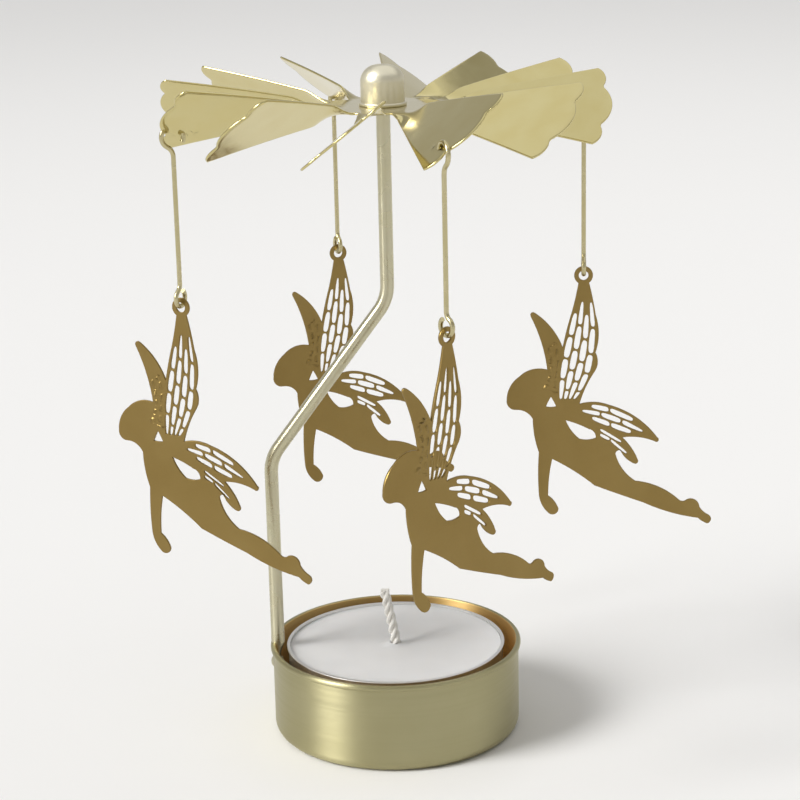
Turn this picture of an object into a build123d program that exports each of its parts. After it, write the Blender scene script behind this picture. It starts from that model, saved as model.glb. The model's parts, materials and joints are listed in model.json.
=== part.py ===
from build123d import *
import os
from math import atan2, cos, degrees, radians, sin, sqrt

os.makedirs("parts", exist_ok=True)

# A rotary tealight carousel: a cup for one tealight, a bent post riveted to its wall, and a
# twelve-bladed fan that turns on the post's point and carries four fairies on wire hangers.
# Millimetres and degrees. The origin is the middle of the cup's underside, and +Z is up.

# Tealight
tealight_diameter = 38.4
tealight_height = 15.1
tealight_foil = 0.3
tealight_corner = 1.0
tealight_lip = 0.3
wax_below_lip = 0.4
wax_dish = 0.35
wax_meniscus = 1.6
wax_clearance = 0.05
wick_diameter = 1.9
wick_length = 9.0
wick_lean = 11.0
wick_bend = 6.0
sustainer_diameter = 13.0
sustainer_sheet = 0.3
sustainer_neck = 3.2
sustainer_wall = 0.35

# Cup that holds the tealight
cup_sheet = 0.5
tealight_room = 2.0
rim_above_tealight = 0.4
cup_corner = 1.8
rim_overhang = 0.4
rim_depth = 0.9
rim_bevel = 0.25

# Post, its point, its flattened foot and the rivet
post_diameter = 2.4
post_rim_inset = 0.1
post_low_bend = 50.2
post_high_bend = 78.3
post_bend_radius = 7.5
point_length = 3.2
point_flat = 0.3
foot_width = 3.4
foot_thickness = 0.8
foot_shoulder = 2.0
foot_length = 7.0
foot_clearance = 0.02
rivet_drop = 3.8
rivet_diameter = 1.2
rivet_head = 2.0
rivet_head_height = 0.45
rivet_clearance = 0.05

# Fan
fan_level = 111.3
fan_sheet = 0.4
fan_radius = 38.3
hub_radius = 10.0
blade_count = 12
blade_twist = 39.0
neck_length = 2.6
neck_width = 4.6
blade_tip_width = 17.0
middle_lobe_depth = 1.8
shoulder_setback = 1.0
notch_offset = 4.3
corner_lobe_bulge = 0.9
hook_hole = 2.5
hook_strip = 1.9

# Bearing cap on the hub
cap_diameter = 7.4
cap_height = 6.9
cap_crown = 1.2
cap_shoulder = 2.0
cap_flange_diameter = 8.0
cap_flange = 0.6
cap_bore = 3.8
cap_spigot = 5.2
cap_lip_diameter = 6.4
cap_lip = 0.4
cap_clearance = 0.05
cap_top_wall = 1.6
point_gap = 0.08

# Wire hangers
hanger_count = 4
hanger_angle = 14.7
wire_diameter = 0.8
wire_sides = 6
upper_loop_radius = 1.85
upper_loop_end = 210.0
lower_loop_radius = 1.4
lower_loop_end = 130.0
neck_turn = 60.0
strip_in_loop = 0.4
hanger_drop = 28.5

# Fairies, cut from sheet; each hangs from the eyelet at its wing tip
fairy_sheet = 0.45
fairy_grid = 1.0
eyelet_diameter = 3.3
eyelet_hole = 1.7
wire_in_eyelet = 0.2
fairy_headings = (-3.0, 22.0, -26.0, 40.0)
wing_rim = 0.4
wing_vein = 0.3
least_cell = 0.3


def polar(radius, angle):
    return Vector(radius * cos(radians(angle)), radius * sin(radians(angle)), 0)


def bent(centre, side, radius, angle):
    return centre + side * radius * cos(radians(angle)) + Vector(0, 0, radius * sin(radians(angle)))


# Worked-out places
tealight_outer = tealight_diameter / 2
tealight_inner = tealight_outer - tealight_foil
tealight_floor = cup_sheet + tealight_foil
tealight_top = cup_sheet + tealight_height
wax_top = tealight_top - wax_below_lip
cup_inner = tealight_outer + tealight_lip + tealight_room
cup_outer = cup_inner + cup_sheet
cup_height = tealight_top + rim_above_tealight
post_radius = post_diameter / 2
post_offset = cup_outer + rim_overhang - post_rim_inset - post_radius
foot_outer = sqrt(cup_inner**2 - (foot_width / 2) ** 2) - foot_clearance
foot_inner = foot_outer - foot_thickness
rivet_level = cup_height - rivet_drop
rivet_hole = rivet_diameter + 2 * rivet_clearance
fan_top = fan_level + fan_sheet / 2
fan_under = fan_level - fan_sheet / 2
cap_top = fan_top + cap_height
cap_seat = cap_top - cap_top_wall
point_top = cap_seat - point_flat / 2 - point_gap
twist = radians(blade_twist)
blade_root = hub_radius + neck_length
notch_radius = fan_radius - middle_lobe_depth
shoulder_radius = notch_radius - shoulder_setback
hook_hole_radius = notch_radius - hook_strip - hook_hole / 2
hook_radius = notch_radius - hook_strip / 2
hook_side = -notch_offset * cos(twist)
hook_level = fan_level - notch_offset * sin(twist) - strip_in_loop
blade_angle = hanger_angle - degrees(atan2(hook_side, hook_radius))
eyelet_level = hook_level - hanger_drop
lower_loop_level = eyelet_level + wire_in_eyelet + lower_loop_radius

# Cup: a drawn shallow pot with a hemmed rim and a hole for the post's rivet
with BuildPart() as cup:
    with BuildSketch(Plane.XZ) as cup_profile:
        with BuildLine():
            Polyline(
                (0, 0),
                (cup_outer, 0),
                (cup_outer, cup_height - rim_depth),
                (cup_outer + rim_overhang, cup_height - rim_depth),
                (cup_outer + rim_overhang, cup_height),
                (cup_inner, cup_height),
                (cup_inner, cup_sheet),
                (0, cup_sheet),
                close=True,
            )
        make_face()
        corners = cup_profile.vertices()
        fillet(corners.sort_by_distance((cup_outer, 0))[0], cup_corner)
        corners = cup_profile.vertices()
        chamfer(corners.sort_by_distance((cup_inner, cup_sheet))[0], cup_corner - cup_sheet)
        corners = cup_profile.vertices()
        rim_edge = (cup_outer + rim_overhang, cup_height - rim_depth / 2)
        chamfer(corners.sort_by_distance(rim_edge)[0:2], rim_bevel)
    revolve(axis=Axis.Z)
    with BuildSketch(Plane((-foot_outer, 0, rivet_level), x_dir=(0, 1, 0), z_dir=(-1, 0, 0))):
        Circle(rivet_hole / 2)
    extrude(amount=cup_outer, mode=Mode.SUBTRACT)
cup.part.label = "cup"
export_step(cup.part, "parts/cup.step")

# Post: round wire from the point under the cap, across a dog-leg, to a flattened foot in the cup
with BuildPart() as post:
    with BuildLine(Plane.XZ) as post_path:
        FilletPolyline(
            (0, point_top - point_length),
            (0, post_high_bend),
            (-post_offset, post_low_bend),
            (-post_offset, cup_height),
            radius=post_bend_radius,
        )
    with BuildSketch(Plane.XY.offset(point_top - point_length)):
        Circle(post_radius)
    sweep(path=post_path.wires()[0])
    with Locations((0, 0, point_top - point_length)):
        Cone(
            post_radius,
            point_flat / 2,
            point_length,
            align=(Align.CENTER, Align.CENTER, Align.MIN),
        )
    with BuildSketch(Plane((-foot_outer, 0, 0), x_dir=(0, 1, 0), z_dir=(1, 0, 0))):
        foot_round = cup_height - foot_length + foot_width / 2
        with BuildLine():
            Polyline(
                (-foot_width / 2, foot_round),
                (-foot_width / 2, cup_height - foot_shoulder),
                (-post_radius, cup_height),
                (post_radius, cup_height),
                (foot_width / 2, cup_height - foot_shoulder),
                (foot_width / 2, foot_round),
            )
            ThreePointArc(
                (foot_width / 2, foot_round),
                (0, cup_height - foot_length),
                (-foot_width / 2, foot_round),
            )
        make_face()
        with Locations((0, rivet_level)):
            Circle(rivet_hole / 2, mode=Mode.SUBTRACT)
    extrude(amount=foot_thickness)
post.part.label = "post"
export_step(post.part, "parts/post.step")

# Rivet: a head outside the cup, a shank through wall and foot, and a peened head inside
with BuildPart() as post_rivet:
    with BuildSketch(Plane.XZ):
        shank = rivet_level + rivet_diameter / 2
        head = rivet_level + rivet_head / 2
        with BuildLine():
            Polyline(
                (-cup_outer - rivet_head_height, rivet_level),
                (-cup_outer - rivet_head_height, shank),
                (-cup_outer - rivet_head_height / 2, head),
                (-cup_outer, head),
                (-cup_outer, shank),
                (-foot_inner, shank),
                (-foot_inner, head),
                (-foot_inner + rivet_head_height / 2, head),
                (-foot_inner + rivet_head_height, shank),
                (-foot_inner + rivet_head_height, rivet_level),
                close=True,
            )
        make_face()
    revolve(axis=Axis((0, 0, rivet_level), (1, 0, 0)))
post_rivet.part.label = "post_rivet"
export_step(post_rivet.part, "parts/post_rivet.step")

# Fan: one stamped sheet, slit into blades that are twisted out of the hub's plane
with BuildPart() as fan:
    with BuildSketch(Plane.XY.offset(fan_under)):
        hub_turn = blade_angle + 180 / blade_count
        RegularPolygon(hub_radius, blade_count, major_radius=False, rotation=hub_turn)
        Circle(cap_spigot / 2 + cap_clearance, mode=Mode.SUBTRACT)
    extrude(amount=fan_sheet)
    for blade in range(blade_count):
        angle = blade_angle + blade * 360 / blade_count
        out = polar(1, angle)
        along = polar(1, angle + 90)
        tilted = along * cos(twist) + Vector(0, 0, sin(twist))
        middle = Vector(0, 0, fan_level)
        blade_plane = Plane(middle, x_dir=out, z_dir=out.cross(tilted))
        with BuildSketch(Plane(middle + out * hub_radius, x_dir=along, z_dir=out)):
            Rectangle(neck_width, fan_sheet)
        with BuildSketch(Plane(middle + out * blade_root, x_dir=tilted, z_dir=out)):
            Rectangle(neck_width, fan_sheet)
        loft(ruled=True)
        with BuildSketch(blade_plane):
            with BuildLine():
                shoulder = (shoulder_radius, blade_tip_width / 2)
                notch = (notch_radius, notch_offset)
                low_notch = (notch_radius, -notch_offset)
                low_shoulder = (shoulder_radius, -blade_tip_width / 2)
                SagittaArc(shoulder, notch, corner_lobe_bulge)
                ThreePointArc(notch, (fan_radius, 0), low_notch)
                SagittaArc(low_notch, low_shoulder, corner_lobe_bulge)
                Polyline(
                    low_shoulder,
                    (blade_root, -neck_width / 2),
                    (blade_root, neck_width / 2),
                    shoulder,
                )
            make_face()
            if blade % (blade_count // hanger_count) == 0:
                with Locations((hook_hole_radius, -notch_offset)):
                    Circle(hook_hole / 2, mode=Mode.SUBTRACT)
        extrude(amount=fan_sheet / 2, both=True)
fan.part.label = "fan"
export_step(fan.part, "parts/fan.step")

# Bearing cap: a turned dome, peened into the hub, with a conical seat for the post's point
with BuildPart() as bearing_cap:
    with BuildSketch(Plane.XZ) as cap_profile:
        with BuildLine():
            TangentArc((0, cap_top), (cap_diameter / 2, cap_top - cap_crown), tangent=(1, 0))
            Polyline(
                (0, cap_top),
                (0, cap_seat),
                (cap_bore / 2, cap_seat - cap_bore / 2),
                (cap_bore / 2, fan_under - cap_lip),
                (cap_lip_diameter / 2, fan_under - cap_lip),
                (cap_lip_diameter / 2, fan_under),
                (cap_spigot / 2, fan_under),
                (cap_spigot / 2, fan_top),
                (cap_flange_diameter / 2, fan_top),
                (cap_flange_diameter / 2, fan_top + cap_flange),
                (cap_diameter / 2, fan_top + cap_flange),
                (cap_diameter / 2, cap_top - cap_crown),
            )
        make_face()
        corners = cap_profile.vertices()
        fillet(corners.sort_by_distance((cap_diameter / 2, cap_top - cap_crown))[0], cap_shoulder)
    revolve(axis=Axis.Z)
bearing_cap.part.label = "bearing_cap"
export_step(bearing_cap.part, "parts/bearing_cap.step")

# Tealight cup: thin drawn foil with a lip turned out at the top
with BuildPart() as tealight_cup:
    with BuildSketch(Plane.XZ) as foil_profile:
        with BuildLine():
            Polyline(
                (0, cup_sheet),
                (tealight_outer, cup_sheet),
                (tealight_outer, tealight_top - tealight_foil),
                (tealight_outer + tealight_lip, tealight_top - tealight_foil),
                (tealight_outer + tealight_lip, tealight_top),
                (tealight_inner, tealight_top),
                (tealight_inner, tealight_floor),
                (0, tealight_floor),
                close=True,
            )
        make_face()
        corners = foil_profile.vertices()
        chamfer(corners.sort_by_distance((tealight_outer, cup_sheet))[0], tealight_corner)
        corners = foil_profile.vertices()
        inner_corner = (tealight_inner, tealight_floor)
        chamfer(corners.sort_by_distance(inner_corner)[0], tealight_corner - tealight_foil)
    revolve(axis=Axis.Z)
tealight_cup.part.label = "tealight_cup"
export_step(tealight_cup.part, "parts/tealight_cup.step")

# Wick sustainer: a flat disc on the foil's floor with a short neck that grips the wick
neck_inner = wick_diameter / 2 + wax_clearance
neck_outer = neck_inner + sustainer_wall
neck_top = tealight_floor + sustainer_sheet + sustainer_neck
with BuildPart() as wick_sustainer:
    with BuildSketch(Plane.XY.offset(tealight_floor)):
        Circle(sustainer_diameter / 2)
    extrude(amount=sustainer_sheet)
    with BuildSketch(Plane.XY.offset(tealight_floor + sustainer_sheet)):
        Circle(neck_outer)
        Circle(neck_inner, mode=Mode.SUBTRACT)
    extrude(amount=sustainer_neck)
wick_sustainer.part.label = "wick_sustainer"
export_step(wick_sustainer.part, "parts/wick_sustainer.step")

# Wick: straight through the wax, then leaning over above it
with BuildPart() as wick:
    with BuildLine(Plane.XZ) as wick_path:
        stem = Line((0, tealight_floor + sustainer_sheet), (0, wax_top))
        bend = JernArc(stem @ 1, stem % 1, wick_bend, wick_lean)
        Line(bend @ 1, bend @ 1 + (bend % 1) * wick_length)
    with BuildSketch(Plane.XY.offset(tealight_floor + sustainer_sheet)):
        Circle(wick_diameter / 2)
    sweep(path=wick_path.wires()[0])
wick.part.label = "wick"
export_step(wick.part, "parts/wick.step")

# Wax: a poured disc that climbs a little at its edge, cast round the sustainer and the wick
wax_radius = tealight_inner - wax_clearance
wax_floor = tealight_floor + wax_clearance
disc_radius = sustainer_diameter / 2 + wax_clearance
disc_top = tealight_floor + sustainer_sheet + wax_clearance
with BuildPart() as wax:
    with BuildSketch(Plane.XZ) as wax_profile:
        with BuildLine():
            Polyline(
                (neck_inner, wax_top - wax_dish),
                (neck_inner, neck_top + wax_clearance),
                (neck_outer + wax_clearance, neck_top + wax_clearance),
                (neck_outer + wax_clearance, disc_top),
                (disc_radius, disc_top),
                (disc_radius, wax_floor),
                (wax_radius, wax_floor),
                (wax_radius, wax_top),
                (wax_radius - wax_meniscus, wax_top - wax_dish),
                close=True,
            )
        make_face()
        corners = wax_profile.vertices()
        chamfer(corners.sort_by_distance((wax_radius, wax_floor))[0], tealight_corner)
    revolve(axis=Axis.Z)
wax.part.label = "wax"
export_step(wax.part, "parts/wax.step")


# Fairy sheet: flat figure about its eyelet, feet towards +X, drawn on a grid as it hangs. Its edge,
# its gaps and the two edges of each pierced wing are chains of arcs, three points to an arc.
figure = (
    (-0.6, 0.0),
    (-1.3, -3.5),
    (-2.2, -6.8),
    (-3.1, -9.9),
    (-3.8, -12.9),
    (-5.7, -9.4),
    (-8.6, -6.6),
    (-9.2, -6.5),
    (-9.4, -7.2),
    (-7.6, -11.9),
    (-6.6, -17.0),
    (-9.3, -16.9),
    (-11.6, -18.2),
    (-13.4, -20.3),
    (-13.9, -22.4),
    (-13.5, -23.8),
    (-12.2, -24.3),
    (-10.4, -24.8),
    (-9.3, -26.1),
    (-9.1, -29.0),
    (-8.3, -32.3),
    (-8.5, -36.6),
    (-8.4, -40.3),
    (-7.8, -42.4),
    (-6.6, -43.9),
    (-5.5, -44.0),
    (-4.9, -43.0),
    (-5.6, -41.6),
    (-6.7, -40.5),
    (-6.5, -37.0),
    (-5.9, -33.6),
    (-2.2, -35.8),
    (1.6, -38.7),
    (5.6, -40.3),
    (10.4, -42.1),
    (15.4, -44.1),
    (20.2, -45.2),
    (21.1, -45.9),
    (21.9, -46.3),
    (22.6, -45.6),
    (22.2, -44.7),
    (21.2, -44.0),
    (20.5, -43.1),
    (19.6, -41.7),
    (18.2, -41.7),
    (17.5, -42.0),
    (16.8, -41.7),
    (13.4, -39.3),
    (9.0, -38.0),
    (6.9, -36.0),
    (5.5, -33.0),
    (5.7, -32.3),
    (6.3, -32.2),
    (7.4, -33.8),
    (8.7, -34.7),
    (9.4, -34.6),
    (9.4, -33.9),
    (8.2, -31.6),
    (6.7, -29.8),
    (9.6, -29.8),
    (12.4, -30.6),
    (13.1, -30.6),
    (12.9, -29.9),
    (8.9, -25.9),
    (4.3, -23.7),
    (1.4, -23.1),
    (-0.9, -23.4),
    (0.3, -20.2),
    (1.9, -17.4),
    (2.4, -15.6),
    (2.0, -14.0),
    (2.6, -10.8),
    (2.1, -7.2),
    (1.5, -3.6),
    (0.7, 0.0),
    (0.0, 0.3),
    (-0.6, 0.0),
)
neck_gap = (
    (-6.0, -22.0),
    (-5.5, -22.9),
    (-5.1, -23.8),
    (-6.0, -23.9),
    (-6.9, -23.8),
    (-6.5, -22.9),
    (-6.0, -22.0),
)
back_gap = (
    (-3.4, -26.4),
    (-1.4, -27.1),
    (0.7, -28.1),
    (1.8, -29.0),
    (1.9, -29.8),
    (0.5, -30.1),
    (-1.0, -29.9),
    (-2.3, -28.5),
    (-3.4, -26.4),
)
near_wing = (
    ((-4.9, -22.6), (-4.7, -18.0), (-3.7, -12.8), (-2.3, -7.0), (-0.9, -2.4)),
    ((-1.3, -22.6), (0.9, -19.1), (2.0, -14.6), (2.4, -9.4), (1.2, -2.4)),
    5,
    4,
)
lower_lobe = (
    ((-2.2, -23.6), (1.4, -23.1), (4.3, -23.7), (8.9, -25.9), (12.4, -29.5)),
    ((-2.2, -25.6), (1.4, -26.9), (4.6, -28.3), (8.0, -29.6), (12.0, -30.5)),
    4,
    3,
)
small_lobe = (
    ((2.6, -27.5), (4.9, -28.7), (6.9, -30.2), (8.2, -31.7), (9.2, -33.6)),
    ((2.6, -29.9), (4.4, -30.9), (6.0, -32.0), (7.3, -33.5), (8.6, -34.5)),
    2,
    2,
)


def arc_points(outline):
    points = [Vector(x, y) * fairy_grid for x, y in outline]
    return zip(points[0::2], points[1::2], points[2::2])


def along_arcs(arcs, run):
    step = min(int(run * len(arcs)), len(arcs) - 1)
    return arcs[step] @ (run * len(arcs) - step)


with BuildSketch() as fairy_sketch:
    for outline, mode in ((figure, Mode.ADD), (neck_gap, Mode.SUBTRACT), (back_gap, Mode.SUBTRACT)):
        with BuildLine():
            for start, middle, end in arc_points(outline):
                ThreePointArc(start, middle, end)
        make_face(mode=mode)
    # Open cells between the veins, in columns across; every other column is half a cell out of step
    for front, back, rows, columns in (near_wing, lower_lobe, small_lobe):
        with BuildLine(mode=Mode.PRIVATE):
            front_edge = [ThreePointArc(*points) for points in arc_points(front)]
            back_edge = [ThreePointArc(*points) for points in arc_points(back)]
        wing_length = (front_edge[-1] @ 1 - front_edge[0] @ 0).length
        half_vein = wing_vein / wing_length / 2
        for column in range(columns):
            odd = column % 2
            for row in range(rows + odd):
                corners = []
                widths = []
                cell_start = max(0, row - odd / 2) / rows + half_vein
                cell_end = min(rows, row + 1 - odd / 2) / rows - half_vein
                for run in (cell_start, cell_end):
                    front_point = along_arcs(front_edge, run)
                    across = along_arcs(back_edge, run) - front_point
                    cell = (across.length - 2 * wing_rim - (columns - 1) * wing_vein) / columns
                    near = wing_rim + column * (cell + wing_vein)
                    widths.append(cell)
                    corners.append(front_point + across * (near / across.length))
                    corners.append(front_point + across * ((near + cell) / across.length))
                if min(widths) > least_cell:
                    with BuildLine():
                        Polyline(corners[0], corners[1], corners[3], corners[2], close=True)
                    make_face(mode=Mode.SUBTRACT)
    Circle(eyelet_diameter / 2)
    Circle(eyelet_hole / 2, mode=Mode.SUBTRACT)
balance = fairy_sketch.sketch.face().center(CenterOf.MASS)
hang_turn = degrees(atan2(-balance.X, -balance.Y))

# Wire hangers and fairies, one pair at every third blade
for index in range(hanger_count):
    number = index + 1
    blade_turn = blade_angle + index * 360 / hanger_count
    out = polar(1, blade_turn)
    along = polar(1, blade_turn + 90)
    axis_foot = out * hook_radius + along * hook_side
    heading = fairy_headings[index]
    feet = polar(1, heading)
    facing = polar(1, heading - 90)

    upper_centre = axis_foot + Vector(0, 0, hook_level)
    lower_centre = axis_foot + Vector(0, 0, lower_loop_level)
    upper_neck = bent(upper_centre, out, 2 * upper_loop_radius, -neck_turn)
    lower_neck = bent(lower_centre, facing, 2 * lower_loop_radius, neck_turn)
    with BuildPart() as hanger:
        with BuildLine() as hanger_path:
            hook = ThreePointArc(
                bent(upper_centre, out, upper_loop_radius, upper_loop_end),
                bent(upper_centre, out, upper_loop_radius, (upper_loop_end - neck_turn) / 2),
                bent(upper_centre, out, upper_loop_radius, -neck_turn),
            )
            swan = ThreePointArc(
                hook @ 1,
                bent(upper_neck, out, upper_loop_radius, 180 - 0.5 * neck_turn),
                bent(upper_neck, out, upper_loop_radius, 180),
            )
            drop = Line(swan @ 1, bent(lower_neck, facing, lower_loop_radius, 180))
            low_swan = ThreePointArc(
                drop @ 1,
                bent(lower_neck, facing, lower_loop_radius, 180 + 0.5 * neck_turn),
                bent(lower_centre, facing, lower_loop_radius, neck_turn),
            )
            ThreePointArc(
                low_swan @ 1,
                bent(lower_centre, facing, lower_loop_radius, (neck_turn + lower_loop_end - 360) / 2),
                bent(lower_centre, facing, lower_loop_radius, lower_loop_end),
            )
        with BuildSketch(Plane(hook @ 0, z_dir=hook % 0)):
            RegularPolygon(wire_diameter / 2, wire_sides)
        sweep(path=hanger_path.wires()[0])
    hanger.part.label = f"hanger_{number}"
    export_step(hanger.part, f"parts/hanger_{number}.step")

    with BuildPart() as fairy:
        with BuildSketch(Plane(axis_foot + Vector(0, 0, eyelet_level), x_dir=feet, z_dir=facing)):
            add(fairy_sketch.sketch, rotation=hang_turn)
        extrude(amount=fairy_sheet / 2, both=True)
    fairy.part.label = f"fairy_{number}"
    export_step(fairy.part, f"parts/fairy_{number}.step")
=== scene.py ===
import json
from math import atan2, cos, hypot, pi, radians, sin

import bmesh
import bpy
from mathutils import Matrix, Vector


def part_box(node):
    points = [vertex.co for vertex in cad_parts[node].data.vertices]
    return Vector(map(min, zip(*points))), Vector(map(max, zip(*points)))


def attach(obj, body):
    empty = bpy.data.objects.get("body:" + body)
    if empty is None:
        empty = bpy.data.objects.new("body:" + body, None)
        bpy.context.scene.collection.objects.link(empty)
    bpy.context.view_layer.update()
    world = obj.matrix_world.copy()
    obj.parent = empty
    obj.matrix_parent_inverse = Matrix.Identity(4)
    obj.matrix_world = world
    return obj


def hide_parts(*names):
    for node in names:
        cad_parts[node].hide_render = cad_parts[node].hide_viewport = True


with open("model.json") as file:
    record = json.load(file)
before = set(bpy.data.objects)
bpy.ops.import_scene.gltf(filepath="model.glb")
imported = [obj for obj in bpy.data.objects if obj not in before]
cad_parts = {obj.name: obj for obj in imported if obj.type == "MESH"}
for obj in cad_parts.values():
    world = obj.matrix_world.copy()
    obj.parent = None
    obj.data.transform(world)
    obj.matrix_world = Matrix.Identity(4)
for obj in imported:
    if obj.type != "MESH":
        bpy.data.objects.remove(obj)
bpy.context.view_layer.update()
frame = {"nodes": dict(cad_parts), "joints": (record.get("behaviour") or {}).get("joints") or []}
joints = {joint["name"]: joint for joint in frame["joints"]}
millimetre = 0.001  # pieces are modelled in millimetres and brought to metres when they are finished
weld = 0.002  # points this near each other become one
sharpAngle = 40  # edges that turn by more than this many degrees stay crisp
up = Vector((0, 0, 1))
print("frame loaded:", len(frame["nodes"]), "nodes")


def colour(code):  # sRGB hex to linear, with alpha
    parts = [int(code[place:place + 2], 16) / 255 for place in (1, 3, 5)]
    return [part / 12.92 if part <= 0.04045 else ((part + 0.055) / 1.055) ** 2.4 for part in parts] + [1.0]


def perSize(size):  # texture scale for a pattern whose features are this many millimetres apart
    return 1 / (size * millimetre)


def fillInputs(tree, node, inputs):  # a socket is linked, anything else is set
    for name, value in inputs.items():
        if isinstance(value, bpy.types.NodeSocket):
            tree.links.new(value, node.inputs[name])
        else:
            node.inputs[name].default_value = value


# Sockets go by name, or by number where a node repeats a name: a Mix has its factor at 0, its numbers
# at 2 and 3 or its colours at 6 and 7, and its result at output 0 or 2
def addNode(tree, kind, output, inputs, **settings):
    node = tree.nodes.new(kind)
    for name, value in settings.items():
        setattr(node, name, value)
    fillInputs(tree, node, inputs)
    return node.outputs[output]


noiseSpan = {"From Min": 0.3, "From Max": 0.7}  # where nearly all values of a noise texture lie


def startMaterial(name, metallic):
    material = bpy.data.materials.new(name)
    material.use_nodes = True
    tree = material.node_tree
    shader = tree.nodes["Principled BSDF"]
    fillInputs(tree, shader, {"Metallic": metallic})
    place = addNode(tree, "ShaderNodeTexCoord", "Object", {})
    return material, tree, shader, place


# Brass plate on a spun steel cup: hair-fine rings round the wall draw each highlight out up and down.
# Inside it is left as drawn and duller. Its warmer, paler colour is painted light: a painted reflection of
# light bouncing round the gold inside, made paler to lift the shade there
def spunBrass():
    material, tree, shader, place = startMaterial("spunBrassPlate", 1.0)
    stretch = (perSize(40), perSize(40), perSize(0.35))  # real rings are 0.1 mm apart, too fine to show
    rings = addNode(tree, "ShaderNodeMapping", "Vector", {"Vector": place, "Scale": stretch})
    hairlines = addNode(tree, "ShaderNodeTexNoise", "Fac", {
        "Vector": rings, "Scale": 1.0, "Detail": 3.0})
    cloud = addNode(tree, "ShaderNodeTexNoise", "Fac", {
        "Vector": place, "Scale": perSize(14), "Detail": 4.0})
    # The inside, which takes the duller finish and the painted bounce light, is what lies within the wall's
    # radius, above the rounded foot
    flat = addNode(tree, "ShaderNodeVectorMath", "Vector", {0: place, 1: (1, 1, 0)}, operation="MULTIPLY")
    reach = addNode(tree, "ShaderNodeVectorMath", "Value", {0: flat}, operation="LENGTH")
    height = addNode(tree, "ShaderNodeSeparateXYZ", "Z", {0: place})
    inner, foot = (cupSize["radius"] - cupSize["wall"]) * millimetre, cupSize["corner"] * millimetre
    fadeEnd, fadeStart = (inner + depth * millimetre for depth in cupSize["insideFade"])
    within = addNode(tree, "ShaderNodeMapRange", "Result", {
        "Value": reach, "From Min": fadeEnd, "From Max": fadeStart})
    above = addNode(tree, "ShaderNodeMapRange", "Result", {
        "Value": height, "From Min": foot, "From Max": 2 * foot})
    inside = addNode(tree, "ShaderNodeMath", 0, {0: within, 1: above}, operation="MULTIPLY")
    outer = addNode(tree, "ShaderNodeMix", 2, {
        0: cloud, 6: colour("#A9A27A"), 7: colour("#B7B18D")}, data_type="RGBA")
    # The inside's colour #E8C684 is painted light: a warm painted reflection of bounced light, paler to lift
    # the shade inside the cup
    toneWithPaintedBounce = addNode(tree, "ShaderNodeMix", 2, {
        0: inside, 6: outer, 7: colour("#E8C684")}, data_type="RGBA")
    grain = addNode(tree, "ShaderNodeMapRange", "Result", {
        "Value": hairlines, **noiseSpan, "To Min": 0.36, "To Max": 0.44})
    fillInputs(tree, shader, {
        "Base Color": toneWithPaintedBounce,
        "Roughness": addNode(tree, "ShaderNodeMix", 0, {0: inside, 2: grain, 3: 0.5}),
        "Normal": addNode(tree, "ShaderNodeBump", "Normal", {
            "Height": hairlines, "Distance": 0.02 * millimetre, "Strength": 0.10}),
        "Tangent": addNode(tree, "ShaderNodeVectorMath", "Vector", {
            0: place, 1: up}, operation="CROSS_PRODUCT"),
        "Anisotropic": 0.9, "Anisotropic Rotation": 0.25})
    return material


# Brass plate on a rod, buffed round and round: a bright streak runs down it, cloudy where it was handled
def buffedBrass():
    material, tree, shader, place = startMaterial("buffedBrassPlate", 1.0)
    handled = addNode(tree, "ShaderNodeTexNoise", "Fac", {
        "Vector": place, "Scale": perSize(3), "Detail": 2.0})
    facing = addNode(tree, "ShaderNodeNewGeometry", "Normal", {})
    fillInputs(tree, shader, {
        "Base Color": addNode(tree, "ShaderNodeMix", 2, {
            0: handled, 6: colour("#C4BD9C"), 7: colour("#D0CBB2")}, data_type="RGBA"),
        "Roughness": addNode(tree, "ShaderNodeMapRange", "Result", {
            "Value": handled, **noiseSpan, "To Min": 0.25, "To Max": 0.31}),
        "Tangent": addNode(tree, "ShaderNodeVectorMath", "Vector", {
            0: facing, 1: up}, operation="CROSS_PRODUCT"),
        "Anisotropic": 0.9, "Anisotropic Rotation": 0.25})
    return material


# Brass, turned and tumbled: a satin skin with one broad soft highlight
def tumbledBrass():
    material, tree, shader, place = startMaterial("tumbledBrass", 1.0)
    peened = addNode(tree, "ShaderNodeTexNoise", "Fac", {
        "Vector": place, "Scale": perSize(0.5), "Detail": 3.0})
    fillInputs(tree, shader, {
        "Base Color": colour("#E0DAC2"),
        "Roughness": addNode(tree, "ShaderNodeMapRange", "Result", {
            "Value": peened, **noiseSpan, "To Min": 0.33, "To Max": 0.43}),
        "Normal": addNode(tree, "ShaderNodeBump", "Normal", {
            "Height": peened, "Distance": 0.02 * millimetre, "Strength": 0.12})})
    return material


# Brass-plated sheet, stamped and bent cold: mirror-bright, with slow waves that swim in its reflections
def mirrorBrass():
    material, tree, shader, place = startMaterial("stampedBrassSheet", 1.0)
    waves = addNode(tree, "ShaderNodeTexNoise", "Fac", {
        "Vector": place, "Scale": perSize(11), "Detail": 1.0})
    smudge = addNode(tree, "ShaderNodeTexNoise", "Fac", {
        "Vector": place, "Scale": perSize(5), "Detail": 5.0})
    fillInputs(tree, shader, {
        "Base Color": addNode(tree, "ShaderNodeMix", 2, {
            0: smudge, 6: colour("#C8B97C"), 7: colour("#D4CA98")}, data_type="RGBA"),
        "Roughness": addNode(tree, "ShaderNodeMapRange", "Result", {
            "Value": smudge, **noiseSpan, "To Min": 0.07, "To Max": 0.16}),
        "Normal": addNode(tree, "ShaderNodeBump", "Normal", {
            "Height": waves, "Distance": 0.5 * millimetre, "Strength": 0.12})})
    return material


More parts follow.
